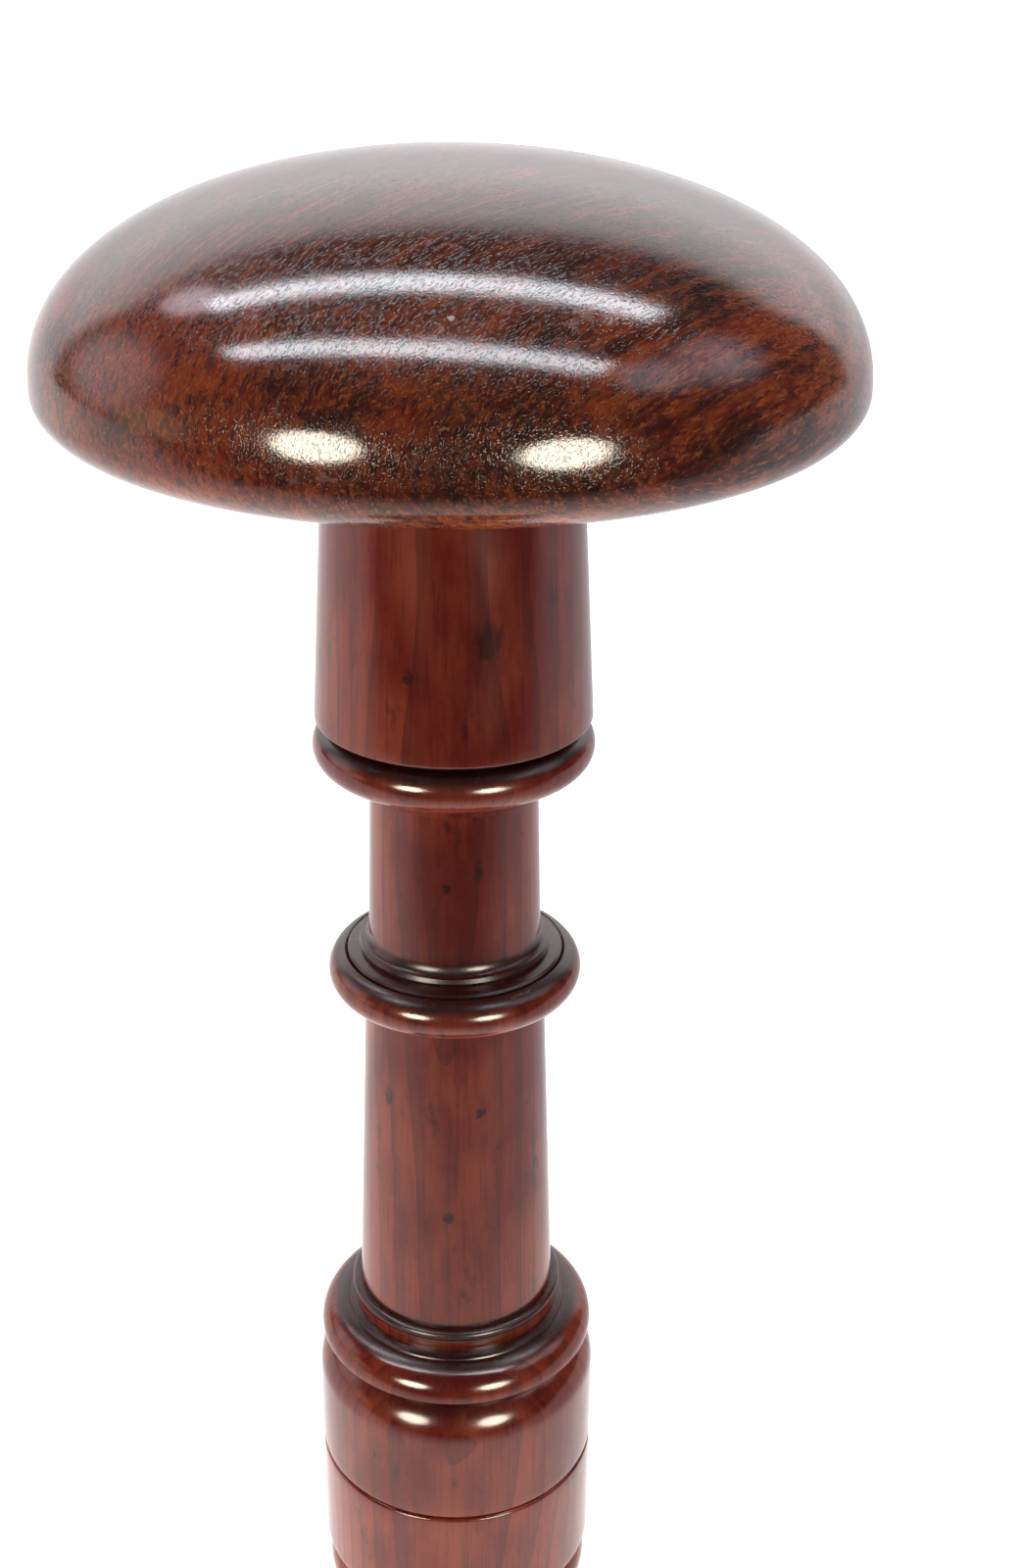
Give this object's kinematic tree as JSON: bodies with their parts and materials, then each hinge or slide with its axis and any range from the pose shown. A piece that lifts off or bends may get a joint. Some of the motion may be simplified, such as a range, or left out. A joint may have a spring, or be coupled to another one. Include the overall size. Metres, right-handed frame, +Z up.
{
  "type": "table hat stand",
  "caption": "Table hat stand: low domed wooden cap on a ring-turned column that lifts apart at its drum, on a moulded round base with a baize pad.",
  "frame": {"origin": "centre of the round resting face under the baize pad", "axes": "+Z up along the turning axis of the column and cap, +X and +Y level; the take-apart joint lifts along +Z"},
  "size_m": [0.13, 0.13, 0.3374],
  "materials": {
    "cap_mahogany": "French-polished dark mahogany, face grain",
    "upper_column_fruitwood": "French-polished red-stained fruitwood, long grain",
    "lower_column_fruitwood": "French-polished red-stained fruitwood, long grain",
    "base_mahogany": "French-polished dark mahogany, face grain",
    "wedge_wood": "bare sawn hardwood",
    "pad_baize": "green wool baize"
  },
  "bodies": {
    "root": {"lower_column": "lower_column_fruitwood", "base": "base_mahogany", "base_wedge": "wedge_wood", "baize_pad": "pad_baize"},
    "upper_stand": {"upper_column": "upper_column_fruitwood", "cap": "cap_mahogany"}
  },
  "joints": [
    {"name": "drum_lift", "type": "slide", "parent": "root", "child": "upper_stand", "axis": [0, 0, 1], "range_m": [0, 0.024]}
  ]
}
